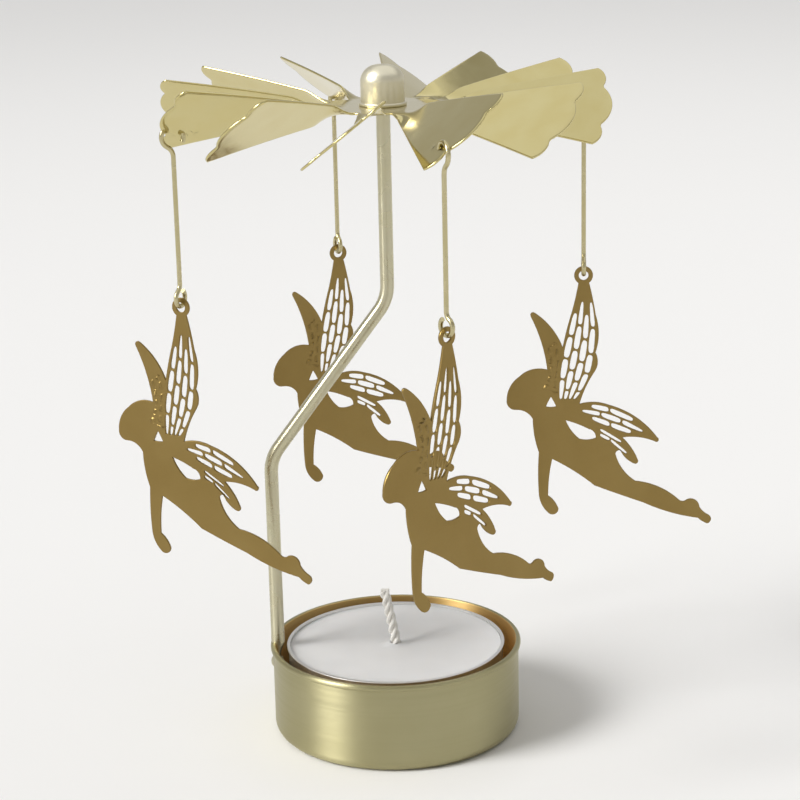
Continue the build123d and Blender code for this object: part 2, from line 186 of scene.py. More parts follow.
# Brass sheet, acid-cut and left satin: a fine even grain that spreads the light, deeper in colour
def etchedBrass():
    material, tree, shader, place = startMaterial("etchedBrassSheet", 1.0)
    grain = addNode(tree, "ShaderNodeTexNoise", "Fac", {
        "Vector": place, "Scale": perSize(0.4), "Detail": 3.0})
    cloud = addNode(tree, "ShaderNodeTexNoise", "Fac", {
        "Vector": place, "Scale": perSize(9), "Detail": 3.0})
    fillInputs(tree, shader, {
        "Base Color": addNode(tree, "ShaderNodeMix", 2, {
            0: cloud, 6: colour("#8A7342"), 7: colour("#998351")}, data_type="RGBA"),
        "Roughness": addNode(tree, "ShaderNodeMapRange", "Result", {
            "Value": grain, **noiseSpan, "To Min": 0.30, "To Max": 0.42}),
        "Normal": addNode(tree, "ShaderNodeBump", "Normal", {
            "Height": grain, "Distance": 0.02 * millimetre, "Strength": 0.15})})
    return material


# Brass-plated wire, drawn through a die: bright, with a little wear where the plating thins
def drawnWire():
    material, tree, shader, place = startMaterial("drawnBrassWire", 1.0)
    wear = addNode(tree, "ShaderNodeTexNoise", "Fac", {
        "Vector": place, "Scale": perSize(2), "Detail": 4.0})
    fillInputs(tree, shader, {
        "Base Color": addNode(tree, "ShaderNodeMix", 2, {
            0: wear, 6: colour("#B8AC7C"), 7: colour("#CFC6A3")}, data_type="RGBA"),
        "Roughness": addNode(tree, "ShaderNodeMapRange", "Result", {
            "Value": wear, **noiseSpan, "To Min": 0.18, "To Max": 0.32})})
    return material


# Soft aluminium foil, pressed: pale, with a few shallow dents
def pressedFoil():
    material, tree, shader, place = startMaterial("pressedAluminiumFoil", 1.0)
    dents = addNode(tree, "ShaderNodeTexNoise", "Fac", {
        "Vector": place, "Scale": perSize(4), "Detail": 3.0})
    fillInputs(tree, shader, {
        "Base Color": colour("#E4E3E1"),
        "Roughness": addNode(tree, "ShaderNodeMapRange", "Result", {
            "Value": dents, **noiseSpan, "To Min": 0.30, "To Max": 0.42}),
        "Normal": addNode(tree, "ShaderNodeBump", "Normal", {
            "Height": dents, "Distance": 0.10 * millimetre, "Strength": 0.10})})
    return material


# Paraffin wax, poured: milky, lit from within, with a soft sheen and a barely uneven skin
def pouredWax():
    material, tree, shader, place = startMaterial("pouredParaffin", 0.0)
    cloud = addNode(tree, "ShaderNodeTexNoise", "Fac", {
        "Vector": place, "Scale": perSize(7), "Detail": 3.0})
    fillInputs(tree, shader, {
        "Base Color": addNode(tree, "ShaderNodeMix", 2, {
            0: cloud, 6: colour("#D9D8D7"), 7: colour("#E4E3E2")}, data_type="RGBA"),
        "Roughness": addNode(tree, "ShaderNodeMapRange", "Result", {
            "Value": cloud, **noiseSpan, "To Min": 0.32, "To Max": 0.46}),
        "Normal": addNode(tree, "ShaderNodeBump", "Normal", {
            "Height": cloud, "Distance": 0.25 * millimetre, "Strength": 0.15}),
        "IOR": 1.44, "Subsurface Weight": 0.5, "Subsurface Radius": (1.0, 0.92, 0.85),
        "Subsurface Scale": 2.5 * millimetre})
    return material


# Cotton yarn, twisted and waxed: matt white with a fine hairy grain
def waxedCotton():
    material, tree, shader, place = startMaterial("waxedCottonWick", 0.0)
    fibre = addNode(tree, "ShaderNodeTexNoise", "Fac", {
        "Vector": place, "Scale": perSize(0.25), "Detail": 3.0})
    fillInputs(tree, shader, {
        "Base Color": addNode(tree, "ShaderNodeMix", 2, {
            0: fibre, 6: colour("#E6E3DB"), 7: colour("#F6F4EF")}, data_type="RGBA"),
        "Roughness": 0.75,
        "Normal": addNode(tree, "ShaderNodeBump", "Normal", {
            "Height": fibre, "Distance": 0.06 * millimetre, "Strength": 0.5})})
    return material


# Tinned sheet, punched: plain grey metal
def punchedTin():
    material, tree, shader, place = startMaterial("punchedTinSheet", 1.0)
    grain = addNode(tree, "ShaderNodeTexNoise", "Fac", {
        "Vector": place, "Scale": perSize(0.6), "Detail": 3.0})
    fillInputs(tree, shader, {
        "Base Color": colour("#B9B9B7"),
        "Roughness": addNode(tree, "ShaderNodeMapRange", "Result", {
            "Value": grain, **noiseSpan, "To Min": 0.28, "To Max": 0.42})})
    return material


def finishPiece(bm, name, body, node, material):
    bmesh.ops.remove_doubles(bm, verts=bm.verts, dist=weld)
    bmesh.ops.recalc_face_normals(bm, faces=bm.faces)
    bmesh.ops.scale(bm, vec=(millimetre, millimetre, millimetre), verts=bm.verts)
    mesh = bpy.data.meshes.new(name)
    bm.to_mesh(mesh)
    bm.free()
    mesh.shade_smooth()
    mesh.set_sharp_from_angle(angle=radians(sharpAngle))
    mesh.materials.append(material)
    piece = bpy.data.objects.new(name, mesh)
    bpy.context.scene.collection.objects.link(piece)
    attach(piece, body)
    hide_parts(node)
    print(name, "made:", len(mesh.polygons), "faces")
    return piece


def evenShading(piece):  # large flats keep their own normals beside small bevels
    even = piece.modifiers.new("evenShading", "WEIGHTED_NORMAL")
    even.keep_sharp = True


def lathe(bm, profile, steps):  # profile as (radius, height) pairs, spun round +Z
    verts = [bm.verts.new((radius, 0, height)) for radius, height in profile]
    edges = [bm.edges.new(pair) for pair in zip(verts, verts[1:])]
    bmesh.ops.spin(bm, geom=verts + edges, cent=(0, 0, 0), axis=up, angle=2 * pi, steps=steps, use_merge=True)
    bmesh.ops.remove_doubles(bm, verts=bm.verts, dist=weld)


def roundRing(bm, radius, height, size, segments):  # round the edge that runs at this radius and height
    near = 0.01

    def onRing(vert):
        return abs(hypot(vert.co.x, vert.co.y) - radius) < near and abs(vert.co.z - height) < near

    ring = [edge for edge in bm.edges if all(onRing(vert) for vert in edge.verts)]
    bmesh.ops.bevel(bm, geom=ring, offset=size, offset_type="OFFSET", segments=segments, profile=0.5,
                    affect="EDGES", material=-1)


def startWire(bm, radius, sides, place, direction):  # first ring of a wire, square to its direction
    turn = Vector(direction).to_track_quat("Z", "Y").to_matrix().to_4x4()
    made = bmesh.ops.create_circle(bm, radius=radius, segments=sides, matrix=Matrix.Translation(place) @ turn)
    return list({edge for vert in made["verts"] for edge in vert.link_edges})


def runStraight(bm, ring, offset):
    made = bmesh.ops.extrude_edge_only(bm, edges=ring)["geom"]
    verts = [item for item in made if isinstance(item, bmesh.types.BMVert)]
    bmesh.ops.translate(bm, verts=verts, vec=offset)
    return [item for item in made if isinstance(item, bmesh.types.BMEdge) and set(item.verts) <= set(verts)]


def runBend(bm, ring, centre, axis, angle, steps):  # angle in degrees, right-handed about the axis
    verts = list({vert for edge in ring for vert in edge.verts})
    made = bmesh.ops.spin(bm, geom=verts + ring, cent=centre, axis=axis, angle=radians(angle), steps=steps)
    return [item for item in made["geom_last"] if isinstance(item, bmesh.types.BMEdge)]


def narrow(bm, ring, factors, centre):  # scale the last ring about a point
    verts = list({vert for edge in ring for vert in edge.verts})
    bmesh.ops.scale(bm, vec=factors, verts=verts, space=Matrix.Translation(-Vector(centre)))


def closeWire(bm, ring):
    bmesh.ops.contextual_create(bm, geom=ring)


def turned(place, angle):  # a 2-D point turned about the origin
    return Vector((place.x * cos(angle) - place.y * sin(angle), place.x * sin(angle) + place.y * cos(angle)))


def arcsThrough(points):  # one arc to every three points: (start, centre, angle)
    arcs = []
    for first, middle, last in zip(points[0::2], points[1::2], points[2::2]):
        start, half, end = Vector(first), Vector(middle), Vector(last)
        toHalf, toEnd = half - start, end - start
        spread = 2 * (toHalf.x * toEnd.y - toHalf.y * toEnd.x)
        centre = start + Vector((toEnd.y * toHalf.length_squared - toHalf.y * toEnd.length_squared,
                                 toHalf.x * toEnd.length_squared - toEnd.x * toHalf.length_squared)) / spread
        angle = 0
        for before, after in ((start - centre, half - centre), (half - centre, end - centre)):
            angle += atan2(before.x * after.y - before.y * after.x, before.dot(after))
        arcs.append((start, centre, angle))
    return arcs


def pointOnArcs(arcs, share):  # a point part of the way along a chain of arcs
    step = min(int(share * len(arcs)), len(arcs) - 1)
    start, centre, angle = arcs[step]
    return centre + turned(start - centre, angle * (share * len(arcs) - step))


def drawLoop(bm, points, step):  # a closed outline in XY, one vertex spun along each arc in turn
    last = bm.verts.new((*points[0], 0))
    for start, centre, angle in arcsThrough(points):
        steps = max(2, round(abs(angle) * (start - centre).length / step))
        made = bmesh.ops.spin(bm, geom=[last], cent=(*centre, 0), axis=up, angle=angle, steps=steps)
        last = [item for item in made["geom_last"] if isinstance(item, bmesh.types.BMVert)][0]


# The cup: a drawn pot with a hemmed rim
cupSize = {"radius": 22.0, "height": 16.0, "wall": 0.5, "rimOut": 0.4, "rimDepth": 0.9, "corner": 1.8,
           "rimRound": 0.42, "underRound": 0.3, "lipRound": 0.2, "steps": 160, "insideFade": (0.15, 0.05)}


def makeCup(material):
    radius, height, wall = cupSize["radius"], cupSize["height"], cupSize["wall"]
    rim, underRim = radius + cupSize["rimOut"], height - cupSize["rimDepth"]
    bm = bmesh.new()
    lathe(bm, ((0, 0), (radius, 0), (radius, underRim), (rim, underRim), (rim, height),
               (radius - wall, height), (radius - wall, wall), (0, wall)), cupSize["steps"])
    roundRing(bm, radius, 0, cupSize["corner"], segments=7)
    roundRing(bm, radius - wall, wall, cupSize["corner"] - wall, segments=5)
    roundRing(bm, rim, height, cupSize["rimRound"], segments=5)
    roundRing(bm, rim, underRim, cupSize["underRound"], segments=3)
    roundRing(bm, radius - wall, height, cupSize["lipRound"], segments=3)
    evenShading(finishPiece(bm, "spunCup", "base", "cup", material))


# The post: a bent rod with a turned point above and a flattened foot in the cup
postSize = {"radius": 1.2, "highBend": 78.3, "lowBend": 50.2, "offset": 21.1, "bendRadius": 7.5,
            "pointLength": 3.2, "tip": 0.125, "rim": 16.0, "footDrop": 2.0, "footLength": 5.3,
            "footWide": 1.42, "footThin": 0.33, "footShift": 0.09, "footEnd": 1.6,
            "footRounds": ((0.9, 0.8), (0.5, 0.6)), "sides": 32, "bendSteps": 10}


def makePost(material):
    size = postSize
    lean = atan2(size["offset"], size["highBend"] - size["lowBend"])
    bend = lean * 180 / pi
    tangent = size["bendRadius"] * (1 - cos(lean)) / sin(lean)
    slope = Vector((-sin(lean), 0, -cos(lean)))
    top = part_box("post")[1].z / millimetre
    high, low = size["highBend"] + tangent, size["lowBend"] - tangent
    foot = Vector((-size["offset"], 0, size["rim"]))
    run = hypot(size["offset"], size["highBend"] - size["lowBend"]) - 2 * tangent
    bm = bmesh.new()
    shoulder = top - size["pointLength"]
    ring = startWire(bm, size["radius"], size["sides"], (0, 0, shoulder), up)
    point = runStraight(bm, ring, (0, 0, size["pointLength"]))
    narrow(bm, point, (size["tip"], size["tip"], 1), (0, 0, top))
    closeWire(bm, point)
    ring = runStraight(bm, ring, (0, 0, high - shoulder))
    ring = runBend(bm, ring, (-size["bendRadius"], 0, high), (0, 1, 0), bend, size["bendSteps"])
    ring = runStraight(bm, ring, slope * run)
    lowCentre = (size["bendRadius"] - size["offset"], 0, low)
    ring = runBend(bm, ring, lowCentre, (0, -1, 0), bend, size["bendSteps"])
    ring = runStraight(bm, ring, (0, 0, size["rim"] - low))
    ring = runStraight(bm, ring, (size["footShift"], 0, -size["footDrop"]))
    narrow(bm, ring, (size["footThin"], size["footWide"], 1), foot + Vector((size["footShift"], 0, 0)))
    ring = runStraight(bm, ring, (0, 0, size["footEnd"] - size["footLength"]))
    for drop, share in size["footRounds"]:  # the foot's round end
        ring = runStraight(bm, ring, (0, 0, -drop))
        narrow(bm, ring, (1, share, 1), foot)
    closeWire(bm, ring)
    evenShading(finishPiece(bm, "bentPost", "base", "post", material))


# The rivet that holds the foot to the cup's wall
rivetSize = {"head": 1.0, "shank": 0.6, "dome": 0.45, "wallFace": 22.0, "footFace": 20.6, "steps": 32,
             "frontCurve": ((0.45, 0.88), (0.8, 0.5)), "backCurve": ((0.8, 0.6),)}  # shares of head and dome


def makeRivet(material):
    size, (low, high) = rivetSize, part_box("post_rivet")
    head, shank, dome = size["head"], size["shank"], size["dome"]
    outside, inside = size["wallFace"], size["footFace"]
    bm = bmesh.new()
    front = [(head * across, outside + dome * rise) for across, rise in size["frontCurve"]]
    back = [(head * across, inside - dome * rise) for across, rise in size["backCurve"]]
    lathe(bm, ((0, outside + dome), *front, (head, outside), (shank, outside),
               (shank, inside), (head, inside), *back, (0, inside - dome)), size["steps"])
    bmesh.ops.rotate(bm, verts=bm.verts, cent=(0, 0, 0), matrix=Matrix.Rotation(radians(-90), 3, "Y"))
    bmesh.ops.translate(bm, verts=bm.verts, vec=(0, 0, (low.z + high.z) / 2 / millimetre))
    finishPiece(bm, "wallRivet", "base", "post_rivet", material)


# The fan: one sheet of twelve scalloped blades, each twisted at its neck
fanSize = {"level": 111.3, "sheet": 0.4, "blades": 12, "hookEvery": 3, "hub": 10.0, "bore": 2.65, "neck": 2.6,
           "neckWidth": 4.6, "tip": 38.3, "notch": 36.5, "shoulder": 35.5, "tipWidth": 17.0,
           "notchOffset": 4.3, "lobeBulge": 0.9, "lobeWay": (0.97, 0.23), "crownShare": (0.68, 0.6),
           "twist": 39.0, "twistEnd": 15.5, "camber": 0.25, "unevenTwist": 1.8, "unevenStep": 2.3,
           "holeRadius": 1.25, "holePlace": 33.35, "holeBlock": (3, 4), "edge": 0.17, "edgeSegments": 3,
           "edgeAngle": 60, "neckRows": 6, "bladeRows": 30, "columns": 30}


def bladeGrid(bm, tipArcs, hooked):  # a flat blade: X out from the axis, Y across it
    size = fanSize
    neckRows, bladeRows, columns = size["neckRows"], size["bladeRows"], size["columns"]
    rows = neckRows + bladeRows
    root = size["hub"] + size["neck"]
    grid = {}
    for vert in bmesh.ops.create_grid(bm, x_segments=rows, y_segments=columns, size=1)["verts"]:
        row, column = round((vert.co.x + 1) / 2 * rows), round((vert.co.y + 1) / 2 * columns)
        start = Vector((root, (column / columns - 0.5) * size["neckWidth"]))
        if row <= neckRows:
            place = Vector((size["hub"] + size["neck"] * row / neckRows, start.y))
        else:
            place = start.lerp(pointOnArcs(tipArcs, column / columns), (row - neckRows) / bladeRows)
        vert.co = (*place, 0)
        grid[row, column] = vert
    rootVerts = [grid[0, column] for column in range(columns + 1)]
    if not hooked:
        return list(grid.values()), rootVerts
    # A block of the grid is taken out round the hook's hole and its edge joined to a circle
    hole = Vector((size["holePlace"], -size["notchOffset"], 0))
    middle = min(grid, key=lambda place: (grid[place].co - hole).length)
    blockVerts, border = set(), set()
    for place, vert in grid.items():
        spare = [size["holeBlock"][way] - abs(place[way] - middle[way]) for way in (0, 1)]
        if min(spare) >= 0:
            blockVerts.add(vert)
        if min(spare) == 0:
            border.add(vert)
    cut = [face for face in bm.faces if set(face.verts) <= blockVerts]
    bmesh.ops.delete(bm, geom=cut, context="FACES")
    ring = [edge for edge in bm.edges if set(edge.verts) <= border and edge.is_boundary]
    circle = bmesh.ops.create_circle(bm, radius=size["holeRadius"], segments=len(ring),
                                     matrix=Matrix.Translation(hole))["verts"]
    bmesh.ops.bridge_loops(bm, edges=ring + list({edge for vert in circle for edge in vert.link_edges}))
    return [vert for vert in grid.values() if vert.is_valid] + circle, rootVerts


def makeFan(material):
    size = fanSize
    axis = joints["hanger_1_swing"]["axis"]
    firstBlade = atan2(axis[0], -axis[1])
    notch, shoulder, side = size["notch"], size["shoulder"], size["tipWidth"] / 2
    notchSide, tip = size["notchOffset"], size["tip"]
    lobeX = (notch + shoulder) / 2 + size["lobeBulge"] * size["lobeWay"][0]
    lobeY = (side + notchSide) / 2 + size["lobeBulge"] * size["lobeWay"][1]
    crownX = notch + (tip - notch) * size["crownShare"][0]
    crownY = notchSide * size["crownShare"][1]
    tipArcs = arcsThrough((
        (shoulder, -side), (lobeX, -lobeY), (notch, -notchSide), (crownX, -crownY), (tip, 0),
        (crownX, crownY), (notch, notchSide), (lobeX, lobeY), (shoulder, side)))
    bm = bmesh.new()
    hubEdges, corners = [], []
    for blade in range(size["blades"]):
        hooked = blade % size["hookEvery"] == 0
        angle = firstBlade + blade * 2 * pi / size["blades"]
        out, along = Vector((cos(angle), sin(angle), 0)), Vector((-sin(angle), cos(angle), 0))
        uneven = 0 if hooked else size["unevenTwist"] * sin(size["unevenStep"] * blade)
        twist = radians(size["twist"] + uneven)
        verts, rootVerts = bladeGrid(bm, tipArcs, hooked)
        for vert in verts:
            reach, across = vert.co.x, vert.co.y
            share = min(1, (reach - size["hub"]) / (size["twistEnd"] - size["hub"]))
            turn = twist * share * share * (3 - 2 * share)
            tilted = along * cos(turn) + up * sin(turn)
            bow = size["camber"] * sin(pi * min(1, (reach - size["hub"]) / (tip - size["hub"])))
            vert.co = out * reach + tilted * across + out.cross(tilted) * bow + up * size["level"]
        hubEdges += [edge for vert in rootVerts for edge in vert.link_edges
                     if edge.other_vert(vert) in rootVerts]
        corners.append((rootVerts[0], rootVerts[-1], angle))
    # The hub's corners stand between the necks
    for (_, last, angle), (first, _, _) in zip(corners, corners[1:] + corners[:1]):
        turn = angle + pi / size["blades"]
        reach = size["hub"] / cos(pi / size["blades"])
        corner = bm.verts.new((reach * cos(turn), reach * sin(turn), size["level"]))
        hubEdges += [bm.edges.new((last, corner)), bm.edges.new((corner, first))]
    hubEdges = list(set(hubEdges))
    bore = bmesh.ops.create_circle(bm, radius=size["bore"], segments=len(hubEdges),
                                   matrix=Matrix.Translation((0, 0, size["level"])))
    boreEdges = list({edge for vert in bore["verts"] for edge in vert.link_edges})
    bmesh.ops.bridge_loops(bm, edges=hubEdges + boreEdges)
    fan = finishPiece(bm, "bladeFan", "rotor", "fan", material)
    sheet = fan.modifiers.new("sheet", "SOLIDIFY")
    sheet.thickness = size["sheet"] * millimetre
    sheet.offset = 0
    edge = fan.modifiers.new("edge", "BEVEL")
    edge.width = size["edge"] * millimetre
    edge.segments = size["edgeSegments"]
    edge.limit_method = "ANGLE"
    edge.angle_limit = radians(size["edgeAngle"])
    edge.use_clamp_overlap = False
    evenShading(fan)


# The bearing cap: a turned dome on a flange, bored for the post's point
capSize = {"radius": 3.7, "flange": 4.0, "flangeHeight": 0.6, "spigot": 2.6, "lip": 3.2, "bore": 1.9,
           "topWall": 1.6, "crown": 0.5, "shoulder": 2.4, "flangeRound": 0.22, "underRound": 0.12,
           "steps": 96}


def makeCap(material):
    size = capSize
    low, high = (corner.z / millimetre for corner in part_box("bearing_cap"))
    sheetTop = fanSize["level"] + fanSize["sheet"] / 2
    sheetUnder, flangeTop = sheetTop - fanSize["sheet"], sheetTop + size["flangeHeight"]
    seat = high - size["topWall"]
    bm = bmesh.new()
    lathe(bm, ((0, high), (size["radius"], high - size["crown"]), (size["radius"], flangeTop),
               (size["flange"], flangeTop), (size["flange"], sheetTop), (size["spigot"], sheetTop),
               (size["spigot"], sheetUnder), (size["lip"], sheetUnder), (size["lip"], low),
               (size["bore"], low), (size["bore"], seat - size["bore"]), (0, seat)), size["steps"])
    roundRing(bm, size["radius"], high - size["crown"], size["shoulder"], segments=12)
    roundRing(bm, size["flange"], flangeTop, size["flangeRound"], segments=4)
    roundRing(bm, size["flange"], sheetTop, size["underRound"], segments=2)
    roundRing(bm, size["lip"], low, size["underRound"], segments=2)
    evenShading(finishPiece(bm, "domeCap", "rotor", "bearing_cap", material))


# The hangers: a swan-necked hook above, a closed loop below
hangerSize = {"wire": 0.4, "sides": 16, "upperLoop": 1.85, "upperEnd": 210, "lowerLoop": 1.4,
              "lowerEnd": 130, "neckTurn": 60, "wireInEyelet": 0.2, "loopSteps": 40, "neckSteps": 10}


def makeHanger(number, material):
    size, neck = hangerSize, hangerSize["neckTurn"]
    upper, lower = size["upperLoop"], size["lowerLoop"]
    swing, hang = joints[f"hanger_{number}_swing"], joints[f"fairy_{number}_swing"]
    along, facing = -Vector(swing["axis"]), Vector(hang["axis"])
    out, side = along.cross(up), up.cross(facing)
    hook = Vector(swing["pos_m"]) / millimetre
    loop = Vector(hang["pos_m"]) / millimetre + up * (size["wireInEyelet"] + lower)

    def onCircle(centre, across, radius, angle):
        return centre + across * radius * cos(radians(angle)) + up * radius * sin(radians(angle))

    bm = bmesh.new()
    start = onCircle(hook, out, upper, size["upperEnd"])
    ring = startWire(bm, size["wire"], size["sides"], start, (start - hook).cross(along))
    closeWire(bm, ring)
    ring = runBend(bm, ring, hook, along, size["upperEnd"] + neck, size["loopSteps"])
    ring = runBend(bm, ring, onCircle(hook, out, 2 * upper, -neck), -along, neck, size["neckSteps"])
    swanEnd = hook - up * 2 * upper * sin(radians(neck))
    runEnd = loop + up * 2 * lower * sin(radians(neck))
    ring = runStraight(bm, ring, runEnd - swanEnd)
    ring = runBend(bm, ring, onCircle(loop, facing, 2 * lower, neck), -side, neck, size["neckSteps"])
    ring = runBend(bm, ring, loop, side, neck + 360 - size["lowerEnd"], size["loopSteps"])
    closeWire(bm, ring)
    body = node = f"hanger_{number}"
    finishPiece(bm, f"wireHanger{number}", body, node, material)


# The fairies: flat figures cut from sheet, with pierced wings, drawn in millimetres about the eyelet
fairySize = {"sheet": 0.45, "edge": 0.09, "edgeSegments": 2, "edgeAngle": 60, "flatAngle": 0.5,
             "plumbTurn": 0.558, "step": 0.35, "weld": 0.02, "hole": 0.85, "holeSides": 28,
             "rim": 0.4, "vein": 0.3, "leastCell": 0.3, "cellSides": 16, "cellCorner": 0.6,
             "bossSlopes": ((0.17, 0.12), (0.14, 0.05)), "bossTilt": 22, "bossStep": 2.3}
fairyEdge = (
    (-0.92, -1.37), (-1.4, -3.7), (-2.2, -6.8), (-3.1, -9.9), (-3.8, -12.9),  # near wing, front edge
    (-5.7, -9.4), (-8.6, -6.6), (-9.2, -6.5), (-9.4, -7.2), (-7.6, -11.9), (-6.6, -17.0),  # far wing
    (-9.3, -16.9), (-11.6, -18.2), (-13.4, -20.3), (-13.9, -22.4),  # head
    (-13.5, -23.8), (-12.2, -24.3), (-10.4, -24.8), (-9.3, -26.1),  # neck
    (-9.1, -29.0), (-8.3, -32.3),  # chest
    (-8.5, -36.6), (-8.4, -40.3), (-7.8, -42.4), (-6.6, -43.9), (-5.5, -44.0), (-4.9, -43.0),  # arm and hand
    (-5.6, -41.6), (-6.7, -40.5), (-6.5, -37.0), (-5.9, -33.6),
    (-2.2, -35.8), (1.6, -38.7), (5.6, -40.3), (10.4, -42.1), (15.4, -44.1), (20.2, -45.2),  # legs
    (21.1, -45.9), (21.9, -46.3), (22.6, -45.6), (22.2, -44.7), (21.2, -44.0), (20.5, -43.1),  # feet
    (19.6, -41.7), (18.2, -41.7), (17.5, -42.0), (16.8, -41.7), (13.4, -39.3), (9.0, -38.0),
    (6.9, -36.0), (5.5, -33.0), (5.7, -32.3), (6.3, -32.2),  # back of the thigh
    (7.4, -33.8), (8.7, -34.7), (9.4, -34.6), (9.4, -33.9), (8.2, -31.6), (6.7, -29.8),  # small lobe
    (9.6, -29.8), (12.4, -30.6), (13.1, -30.6), (12.9, -29.9), (8.9, -25.9), (4.3, -23.7),  # lower lobe
    (1.4, -23.1), (-0.9, -23.4),
    (0.3, -20.2), (1.9, -17.4), (2.4, -15.6), (2.0, -14.0),  # near wing, back edge
    (2.6, -10.8), (2.1, -7.2), (1.6, -4.2), (0.98, -1.33), (0.0, 1.65), (-0.92, -1.37),  # eyelet
)
neckGap = ((-6.0, -22.0), (-5.5, -22.9), (-5.1, -23.8), (-6.0, -23.9), (-6.9, -23.8), (-6.5, -22.9),
           (-6.0, -22.0))
backGap = ((-3.4, -26.4), (-1.4, -27.1), (0.7, -28.1), (1.8, -29.0), (1.9, -29.8), (0.5, -30.1),
           (-1.0, -29.9), (-2.3, -28.5), (-3.4, -26.4))
wings = (  # front edge, back edge, rows and columns of cells
    (((-4.9, -22.6), (-4.7, -18.0), (-3.7, -12.8), (-2.3, -7.0), (-0.9, -2.4)),
     ((-1.3, -22.6), (0.9, -19.1), (2.0, -14.6), (2.4, -9.4), (1.2, -2.4)), 5, 4),
    (((-2.2, -23.6), (1.4, -23.1), (4.3, -23.7), (8.9, -25.9), (12.4, -29.5)),
     ((-2.2, -25.6), (1.4, -26.9), (4.6, -28.3), (8.0, -29.6), (12.0, -30.5)), 4, 3),
    (((2.6, -27.5), (4.9, -28.7), (6.9, -30.2), (8.2, -31.7), (9.2, -33.6)),
     ((2.6, -29.9), (4.4, -30.9), (6.0, -32.0), (7.3, -33.5), (8.6, -34.5)), 2, 2),
)
wingRoot = (  # its cells stand up from the sheet as small bosses
    ((-8.2, -20.6), (-7.3, -19.0), (-6.65, -17.0), (-6.85, -15.2), (-7.4, -13.3)),
    ((-4.6, -21.9), (-4.35, -19.6), (-4.2, -17.0), (-3.9, -14.4), (-4.9, -11.5)), 5, 2)


# Cells between a wing's veins, every other column out of step
def drawCells(bm, front, back, rows, columns):
    cells = []
    rim, vein = fairySize["rim"], fairySize["vein"]
    frontArcs, backArcs = arcsThrough(front), arcsThrough(back)
    halfVein = vein / (Vector(front[-1]) - Vector(front[0])).length / 2
    for column in range(columns):
        odd = column % 2
        for row in range(rows + odd):
            ends = []
            lowRun = max(0, row - odd / 2) / rows + halfVein
            highRun = min(rows, row + 1 - odd / 2) / rows - halfVein
            for run in (lowRun, highRun):
                start = pointOnArcs(frontArcs, run)
                across = pointOnArcs(backArcs, run) - start
                width = (across.length - 2 * rim - (columns - 1) * vein) / columns
                near = rim + column * (width + vein)
                ends.append((width, start + across.normalized() * near, across.normalized() * width))
            if min(width for width, _, _ in ends) < fairySize["leastCell"]:
                continue
            cell = bmesh.ops.create_circle(bm, radius=1, segments=fairySize["cellSides"])["verts"]
            for vert in cell:  # a round-cornered cell between the two ends
                share = [0.5 + 0.5 * (1 if part > 0 else -1) * abs(part) ** fairySize["cellCorner"]
                         for part in vert.co.xy]
                low = ends[0][1] + ends[0][2] * share[0]
                high = ends[1][1] + ends[1][2] * share[0]
                vert.co = (*low.lerp(high, share[1]), 0)
            cells.append(cell)
    return cells


def makeFairy(number, material):
    size, hang = fairySize, joints[f"fairy_{number}_swing"]
    facing = Vector(hang["axis"])
    bm = bmesh.new()
    embossed = bm.faces.layers.int.new("embossed")
    for outline in (fairyEdge, neckGap, backGap):
        drawLoop(bm, outline, size["step"])
    bmesh.ops.create_circle(bm, radius=size["hole"], segments=size["holeSides"])
    for wing in wings:
        drawCells(bm, *wing)
    rootCells = drawCells(bm, *wingRoot)
    bmesh.ops.remove_doubles(bm, verts=bm.verts, dist=size["weld"])
    bmesh.ops.triangle_fill(bm, use_beauty=True, edges=bm.edges[:])
    bmesh.ops.dissolve_limit(bm, angle_limit=radians(size["flatAngle"]), verts=[], edges=bm.edges[:])
    for cell in rootCells:  # these are closed again, and marked
        edges = {edge for vert in cell for edge in vert.link_edges if edge.other_vert(vert) in cell}
        bmesh.ops.contextual_create(bm, geom=list(edges))["faces"][0][embossed] = 1
    raised = bmesh.ops.extrude_face_region(bm, geom=bm.faces[:])["geom"]
    bmesh.ops.translate(bm, verts=[item for item in raised if isinstance(item, bmesh.types.BMVert)],
                        vec=(0, 0, size["sheet"]))
    bmesh.ops.recalc_face_normals(bm, faces=bm.faces)
    rim = [edge for edge in bm.edges
           if edge.is_manifold and edge.calc_face_angle() > radians(size["edgeAngle"])
           and abs(edge.verts[0].co.z - edge.verts[1].co.z) < weld]
    bmesh.ops.bevel(bm, geom=rim, offset=size["edge"], offset_type="OFFSET", segments=size["edgeSegments"],
                    profile=0.5, affect="EDGES", clamp_overlap=False, material=-1)
    bosses = [face for face in bm.faces if face[embossed]]
    for width, rise in size["bossSlopes"]:
        bmesh.ops.inset_individual(bm, faces=bosses, thickness=width, depth=rise, use_even_offset=True)
    for place, boss in enumerate(bosses):  # no two lie quite alike, so that some glint from any side
        tilt = radians(size["bossTilt"]) * sin(size["bossStep"] * place)
        lean = Matrix.Rotation(tilt, 3, (cos(place), sin(place), 0))
        bmesh.ops.rotate(bm, verts=boss.verts, cent=boss.calc_center_median(), matrix=lean)
    bmesh.ops.translate(bm, verts=bm.verts, vec=(0, 0, -size["sheet"] / 2))
    plumb = Matrix.Rotation(radians(size["plumbTurn"]), 3, "Z")  # hangs with its weight under the eyelet
    bmesh.ops.rotate(bm, verts=bm.verts, cent=(0, 0, 0), matrix=plumb)
    feet = up.cross(facing)
    stand = Matrix((feet, up, facing)).transposed().to_4x4()
    bmesh.ops.transform(bm, verts=bm.verts,
                        matrix=Matrix.Translation(Vector(hang["pos_m"]) / millimetre) @ stand)
    body = node = f"fairy_{number}"
    evenShading(finishPiece(bm, f"fairySheet{number}", body, node, material))


